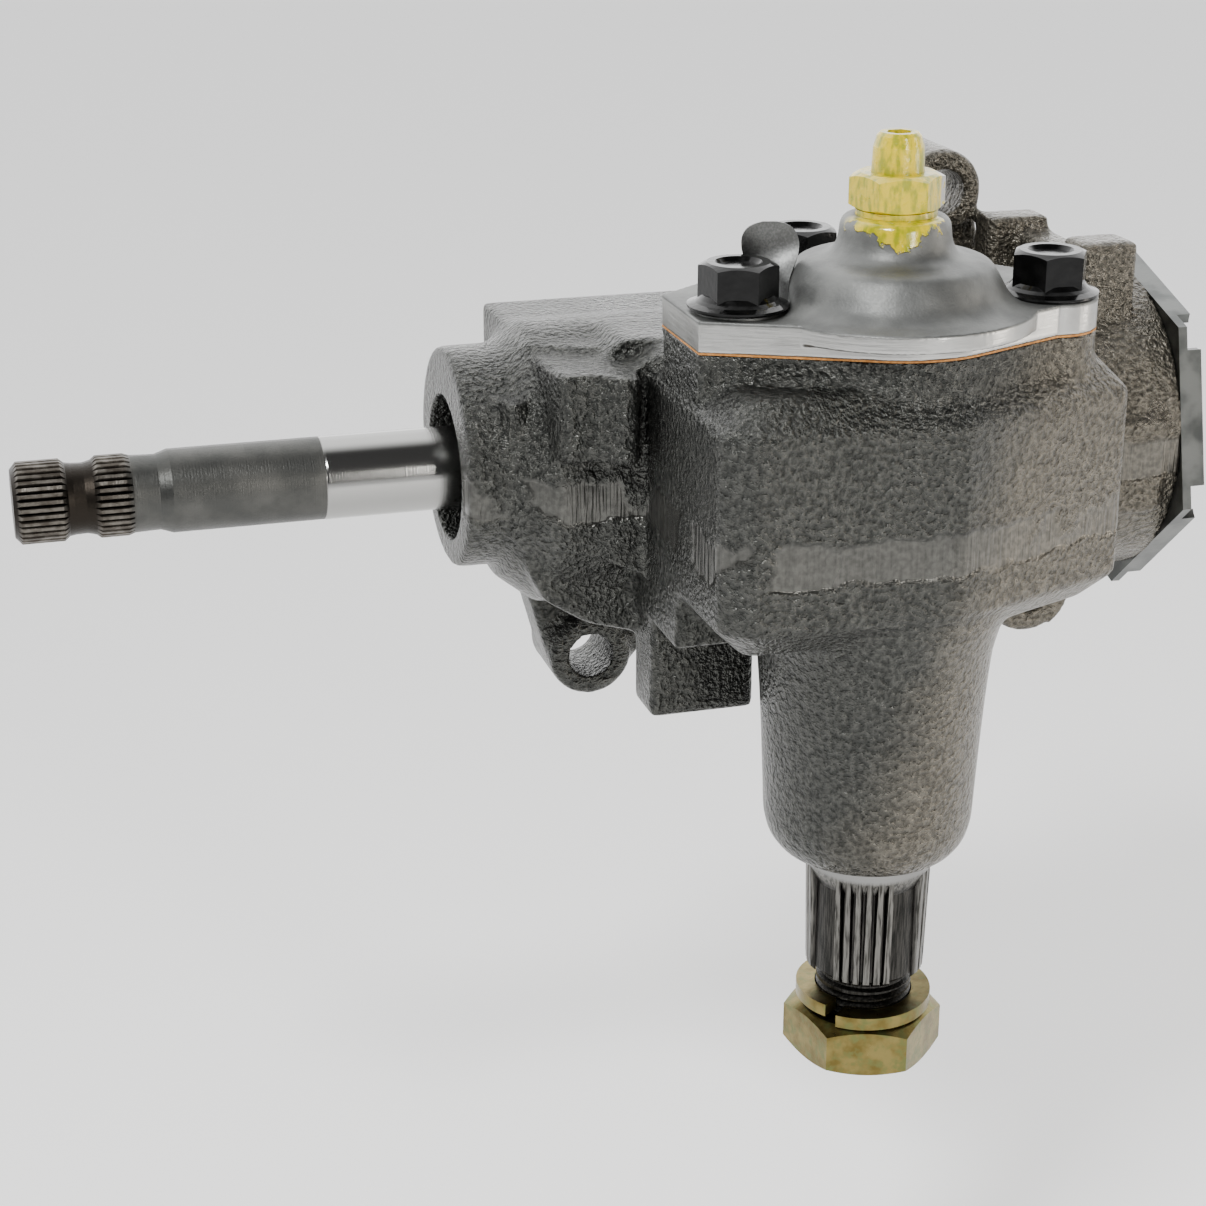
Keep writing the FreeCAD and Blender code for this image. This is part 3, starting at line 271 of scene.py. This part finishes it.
def cast_iron():
    """Oily sand-cast iron: dark and pebbled, with painted light making it lighter and warmer to the right,
    filed along the mould joint.
    """
    s = Shader("cast_iron")
    pebbles = s.noise(1.2)
    sand = s.noise(0.5)
    broad = s.noise(13.0)
    oily = s.noise(30.0)
    # Painted light: a lit copy of the iron is blended over a shaded copy, lighter and warmer towards the
    # right and lower down, with an edge broken up by broad noise.
    tilt = s.add(s.x, s.times(s.z, -0.3))
    painted_light_right = s.step(s.add(tilt, s.times(broad, 14.0)), 8.0, 30.0)
    crest = s.step(pebbles, 0.30, 0.72)
    painted_shade_iron = s.blend(crest, (0.020, 0.021, 0.019), (0.066, 0.067, 0.061))
    painted_lit_iron = s.blend(crest, (0.048, 0.044, 0.035), (0.140, 0.128, 0.104))
    colour = s.blend(painted_light_right, painted_shade_iron, painted_lit_iron)
    joint = s.add(s.z, s.times(s.noise(6.0), 5.0))
    filed = s.times(s.band(joint, JOINT_LOW_Z, JOINT_HIGH_Z, 0.8), s.step(s.noise(16.0), 0.36, 0.46))
    filed = s.times(filed, s.step(s.y, CHAMBER_SIDE_Y, CHAMBER_SIDE_Y - 2.0))
    stroke = s.noise(0.7, at=s.stretched(1.0, 0.6, 0.05))
    colour = s.blend(s.times(filed, s.times(stroke, 0.7)), colour, (0.115, 0.112, 0.103))
    height = s.add(pebbles, s.times(sand, 0.25))
    height = s.mix(filed, height, s.times(stroke, 0.3))
    normal = s.bump(height, 1.15, s.bump(broad, 0.5))
    rough = s.mix(s.step(oily, 0.35, 0.65), 0.22, 0.31)
    return s.finish(colour=colour, metal=0.75, rough=rough, normal=normal)


def yellow_mask(s):
    """1 where paint has run from the adjuster down the front of the cover's boss, 0 elsewhere."""
    side = s.add(s.y, -SECTOR_Y)
    edge = s.times(s.add(s.noise(2.6, 3.0), -0.5), 10.0)
    reach = s.add(s.times(s.math("ABSOLUTE", s.add(s.x, 3.0)), 0.55), edge)
    drop = s.math("SUBTRACT", s.z, s.add(PAINT_FOOT_Z, reach))
    front = s.step(side, 2.0, -4.0)
    return s.times(s.step(drop, -0.6, 0.3), front)


def cover_aluminium():
    """As-cast dome, bright milled plate edge, paint run over the front of the boss."""
    s = Shader("cover_aluminium")
    fine = s.noise(0.55, 3.0)
    broad = s.noise(9.0, 3.0)
    edge = s.band(s.z, PLATE_EDGE_LOW_Z, PLATE_EDGE_HIGH_Z, 0.25)
    lines = s.noise(0.5, 3.0, at=s.stretched(0.05, 0.05, 1.0))
    metal_colour = s.blend(s.step(broad, 0.3, 0.7), (0.12, 0.123, 0.12), (0.19, 0.194, 0.187))
    metal_colour = s.blend(edge, metal_colour, (0.38, 0.38, 0.368))
    paint = yellow_mask(s)
    streak = s.noise(1.6, 3.0, at=s.stretched(1.0, 1.0, 0.3))
    yellow = s.blend(s.step(streak, 0.38, 0.68), (0.60, 0.46, 0.0), (0.26, 0.27, 0.0))
    colour = s.blend(paint, metal_colour, yellow)
    height = s.mix(edge, fine, lines)
    normal = s.bump(paint, 0.25, s.bump(height, 0.05, s.bump(broad, 0.35)))
    rough = s.mix(paint, s.mix(edge, s.mix(fine, 0.46, 0.60), 0.30), 0.16)
    metal = s.mix(paint, 0.9, 0.0)
    return s.finish(colour=colour, metal=metal, rough=rough, normal=normal, coat=s.mix(paint, 0.0, 0.25))


def yellow_paint():
    """Nut and stud: yellow with greenish streaks, one flat left bare."""
    s = Shader("yellow_paint")
    streak = s.noise(1.5, 3.0, at=s.stretched(1.0, 1.0, 0.35))
    side = s.add(s.y, -SECTOR_Y)
    worn = s.noise(1.8, 3.0)
    outward = s.add(s.times(s.x, 0.93), s.times(side, 0.05))
    bare = s.times(s.step(outward, 6.9, 7.7), s.step(worn, 0.36, 0.44))
    colour = s.blend(s.step(streak, 0.42, 0.64), (0.62, 0.47, 0.0), (0.28, 0.28, 0.0))
    colour = s.blend(bare, colour, (0.45, 0.44, 0.42))
    normal = s.bump(s.noise(1.2), 0.16, s.bump(s.noise(5.0), 0.3))
    rough = s.mix(worn, 0.22, 0.36)
    return s.finish(colour=colour, metal=bare, rough=rough, normal=normal, coat=s.mix(bare, 0.25, 0.0))


def plain_metal(name, dark, light, rough, grain, depth):
    s = Shader(name)
    fine = s.noise(grain, 4.0)
    broad = s.noise(grain * 14, 3.0)
    cloud = s.add(s.times(fine, 0.5), s.times(broad, 0.5))
    colour = s.blend(s.step(cloud, 0.38, 0.62), dark, light)
    roughness = s.mix(broad, rough * 0.8, rough * 1.2)
    return s.finish(colour=colour, metal=1.0, rough=roughness, normal=s.bump(fine, depth))


def input_steel():
    """Matte turned shaft, bright ground length next to the seal, brownish splined end."""
    s = Shader("input_steel")
    rings = s.noise(0.35, 3.0, at=s.stretched(1.0, 0.0, 0.0))
    fine = s.noise(0.5, 3.0)
    broad = s.noise(8.0, 3.0)
    ground = s.step(s.x, GROUND_START_X, GROUND_START_X + 0.4)
    splined = s.step(s.x, INPUT_SPLINE_X, INPUT_SPLINE_X - 3.0)
    radius = s.hypot(s.add(s.y, -WORM_Y), s.z)
    valley = s.step(radius, INPUT_CREST_RADIUS, INPUT_VALLEY_RADIUS)
    plain = s.blend(s.step(broad, 0.35, 0.68), (0.058, 0.059, 0.056), (0.082, 0.082, 0.077))
    rust = s.blend(s.step(s.noise(2.4, 3.0), 0.36, 0.66), (0.055, 0.048, 0.040), (0.13, 0.12, 0.105))
    rust = s.blend(valley, rust, (0.020, 0.017, 0.014))
    colour = s.blend(splined, s.blend(ground, plain, (0.30, 0.30, 0.29)), rust)
    rough = s.mix(splined, s.mix(ground, s.mix(fine, 0.38, 0.52), 0.17), 0.42)
    normal = s.bump(s.mix(ground, s.add(rings, fine), s.times(rings, 0.25)), 0.05)
    return s.finish(colour=colour, metal=1.0, rough=rough, normal=normal)


def output_steel():
    """Sector shaft: dark oiled splines with bright worn crests."""
    s = Shader("output_steel")
    radius = s.hypot(s.x, s.add(s.y, -SECTOR_Y))
    crest = s.step(radius, OUTPUT_VALLEY_RADIUS, OUTPUT_CREST_RADIUS)
    splined = s.step(s.z, OUTPUT_SPLINE_Z, OUTPUT_SPLINE_Z - 1.5)
    fine = s.noise(0.5, 3.0)
    down = s.noise(0.45, 3.0, at=s.stretched(1.0, 1.0, 0.08))
    dark = s.blend(s.step(down, 0.36, 0.66), (0.012, 0.012, 0.011), (0.042, 0.040, 0.037))
    bright = s.blend(s.step(down, 0.34, 0.62), (0.035, 0.034, 0.031), (0.14, 0.136, 0.126))
    colour = s.blend(splined, (0.20, 0.20, 0.195), s.blend(crest, dark, bright))
    rough = s.mix(splined, 0.16, s.mix(fine, 0.26, 0.42))
    return s.finish(colour=colour, metal=1.0, rough=rough, normal=s.bump(s.add(down, fine), 0.05))


def stamped_steel():
    s = Shader("stamped_steel")
    broad = s.noise(7.0, 3.0)
    brushed = s.noise(0.4, 3.0, at=s.stretched(0.2, 1.0, 1.0))
    colour = s.blend(s.step(broad, 0.35, 0.65), (0.075, 0.079, 0.077), (0.14, 0.145, 0.14))
    return s.finish(colour=colour, metal=1.0, rough=s.mix(broad, 0.30, 0.44), normal=s.bump(brushed, 0.03))


def zinc_yellow():
    """Yellow zinc plating with greenish clouds."""
    s = Shader("zinc_yellow")
    film = s.noise(5.0, 3.0)
    cloud = s.noise(2.2)
    base = s.blend(s.step(film, 0.35, 0.66), (0.110, 0.083, 0.024), (0.190, 0.152, 0.054))
    colour = s.blend(s.step(cloud, 0.46, 0.70), base, (0.120, 0.125, 0.045))
    rough = s.mix(cloud, 0.22, 0.40)
    return s.finish(colour=colour, metal=1.0, rough=rough, normal=s.bump(s.noise(0.7, 3.0), 0.04))


def black_oxide():
    s = Shader("black_steel")
    haze = s.noise(3.0, 3.0)
    colour = s.blend(s.step(haze, 0.35, 0.7), (0.001, 0.001, 0.001), (0.004, 0.004, 0.004))
    normal = s.bump(s.noise(1.4), 0.05)
    return s.finish(colour=colour, metal=0.0, rough=s.mix(haze, 0.10, 0.20), normal=normal, specular=0.25)


def paper_gasket():
    s = Shader("gasket")
    fibre = s.noise(0.8, 4.0)
    colour = s.blend(s.step(fibre, 0.3, 0.7), (0.30, 0.115, 0.02), (0.52, 0.23, 0.055))
    return s.finish(colour=colour, metal=0.0, rough=0.75, normal=s.bump(fibre, 0.08))


def rubber():
    s = Shader("seal_rubber")
    fine = s.noise(0.7, 3.0)
    return s.finish(colour=s.blend(fine, (0.010, 0.010, 0.011), (0.026, 0.025, 0.024)), metal=0.0,
                    rough=s.mix(fine, 0.45, 0.6), normal=s.bump(fine, 0.05))


def dress_nodes():
    bearing = plain_metal("bearing_steel", (0.50, 0.50, 0.49), (0.62, 0.62, 0.61), 0.16, 0.4, 0.01)
    bronze = plain_metal("bronze", (0.42, 0.25, 0.10), (0.55, 0.36, 0.17), 0.32, 0.5, 0.03)
    pressed = plain_metal("pressed_steel", (0.34, 0.34, 0.33), (0.47, 0.47, 0.46), 0.33, 0.7, 0.03)
    nut_steel = plain_metal("nut_steel", (0.26, 0.26, 0.255), (0.40, 0.40, 0.39), 0.30, 0.5, 0.03)
    plug = plain_metal("plug_steel", (0.10, 0.10, 0.10), (0.19, 0.19, 0.185), 0.40, 0.8, 0.06)
    tag = plain_metal("strip_aluminium", (0.12, 0.122, 0.12), (0.18, 0.184, 0.18), 0.45, 0.5, 0.04)
    paint, seal = yellow_paint(), rubber()
    looks = {
        "side_cover_gasket": paper_gasket(), "cover_bolts": black_oxide(),
        "side_cover_bushing": bronze, "upper_housing_bushing": bronze, "lower_housing_bushing": bronze,
        "identification_strip": tag, "lash_adjuster_screw": paint, "adjuster_lock_nut": paint,
        "lash_adjuster_shim": pressed, "worm_shaft": input_steel(), "worm_shaft_seal": seal,
        "sector_shaft_seal": seal, "sector_shaft": output_steel(), "arm_nut": zinc_yellow(),
        "worm_adjuster_plug": plug, "worm_adjuster_lock_nut": stamped_steel(), "ball_nut": nut_steel,
        "guide_clamp": pressed, "guide_clamp_screws": pressed, "front_ball_guide": pressed,
        "rear_ball_guide": pressed,
    }
    looks["arm_lock_washer"] = looks["arm_nut"]
    for name, obj in nodes.items():
        if name in ("gear_housing", "side_cover"):
            continue
        obj.data.materials.clear()
        obj.data.materials.append(looks.get(name, bearing))


# ---- casting skins of the housing and the cover ----

RELAX_RATE = 0.5
HOUSING_VOXEL = 0.75
HOUSING_ROUNDS = 12
COVER_VOXEL = 0.45
COVER_ROUNDS = 30


def voxel_copy(source, size):
    """Mesh of even voxels over a CAD node."""
    copy = source.copy()
    copy.data = source.data.copy()
    scene.collection.objects.link(copy)
    remesh = copy.modifiers.new("even", "REMESH")
    remesh.mode = "VOXEL"
    remesh.voxel_size = size * MM
    remesh.adaptivity = 0.0
    evaluated = copy.evaluated_get(bpy.context.evaluated_depsgraph_get())
    mesh = bpy.data.meshes.new_from_object(evaluated)
    bpy.data.objects.remove(copy)
    return mesh


def coordinates(mesh):
    """Every vertex of a mesh, in millimetres."""
    flat = np.empty(len(mesh.vertices) * 3)
    mesh.vertices.foreach_get("co", flat)
    return flat.reshape(-1, 3) / MM


def machined(points, lugs):
    """True where the casting is cut by a tool and must stay crisp, False on the as-cast skin."""
    x, y, z = points.T
    from_worm = np.hypot(y - WORM_Y, z)
    from_sector = np.hypot(x, y - SECTOR_Y)
    crisp = (z > TOP_FACE_Z) & (from_sector < TOP_FACE_REACH)
    crisp |= (x > PLUG_BORE_X) & (from_worm < PLUG_BORE_RADIUS)
    crisp |= (x > BARREL_END_X)
    crisp |= (x < SEAL_BORE_X) & (from_worm < SEAL_BORE_RADIUS)
    crisp |= (from_sector < SHAFT_BORE_RADIUS)
    crisp |= (y > REAR_FACE_Y)
    for lug_x, _, lug_z in lugs:
        crisp |= (np.hypot(x - lug_x, z - lug_z) < LUG_HOLE_RADIUS) & (y > LUG_FOOT_Y)
    return crisp


def cover_tooled(points):
    """The cover's plate, its bores and its stud hole are tooled; only the dome is as cast."""
    x, y, z = points.T
    from_sector = np.hypot(x, y - SECTOR_Y)
    return (z < PLATE_TOP_Z) | (from_sector < STUD_HOLE_RADIUS) | (from_sector > PLATE_REACH)


def relax(points, edges, free, rounds):
    """Repeated averaging with neighbours, which rounds edges and fills corners like a casting's fillets."""
    count = np.bincount(edges.ravel(), minlength=len(points))[:, None]
    for _ in range(rounds):
        total = np.empty_like(points)
        for axis in range(3):
            total[:, axis] = (np.bincount(edges[:, 0], points[edges[:, 1], axis], len(points))
                              + np.bincount(edges[:, 1], points[edges[:, 0], axis], len(points)))
        points = points + (total / count - points) * (RELAX_RATE * free)
    return points


def cast_skin(name, size, crisp_of, rounds, material):
    """Smooth casting over a CAD node; tooled faces keep the CAD surface."""
    source = nodes[name]
    mesh = voxel_copy(source, size)
    points = coordinates(mesh)
    edges = np.empty(len(mesh.edges) * 2, dtype=np.int64)
    mesh.edges.foreach_get("vertices", edges)
    crisp = crisp_of(points)
    tree = BVHTree.FromObject(source, bpy.context.evaluated_depsgraph_get())
    for index in np.nonzero(crisp)[0]:
        points[index] = np.array(tree.find_nearest(Vector(points[index] * MM))[0]) / MM
    free = np.where(crisp, 0.0, 1.0)[:, None]
    points = relax(points, edges.reshape(-1, 2), free, rounds)
    mesh.vertices.foreach_set("co", (points * MM).ravel())
    mesh.polygons.foreach_set("use_smooth", np.ones(len(mesh.polygons), dtype=bool))
    mesh.materials.clear()
    mesh.materials.append(material)
    mesh.update()
    skin = bpy.data.objects.new(name + "_casting", mesh)
    scene.collection.objects.link(skin)
    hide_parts(name)
    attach(skin, "casing")


def add_castings():
    lugs = [place for name, place in mounts.items() if name.startswith("lug_hole")]
    cast_skin("gear_housing", HOUSING_VOXEL, lambda points: machined(points, lugs), HOUSING_ROUNDS,
              cast_iron())
    cast_skin("side_cover", COVER_VOXEL, cover_tooled, COVER_ROUNDS,
              cover_aluminium())


dress_nodes()
add_castings()
add_camera()
add_stage()
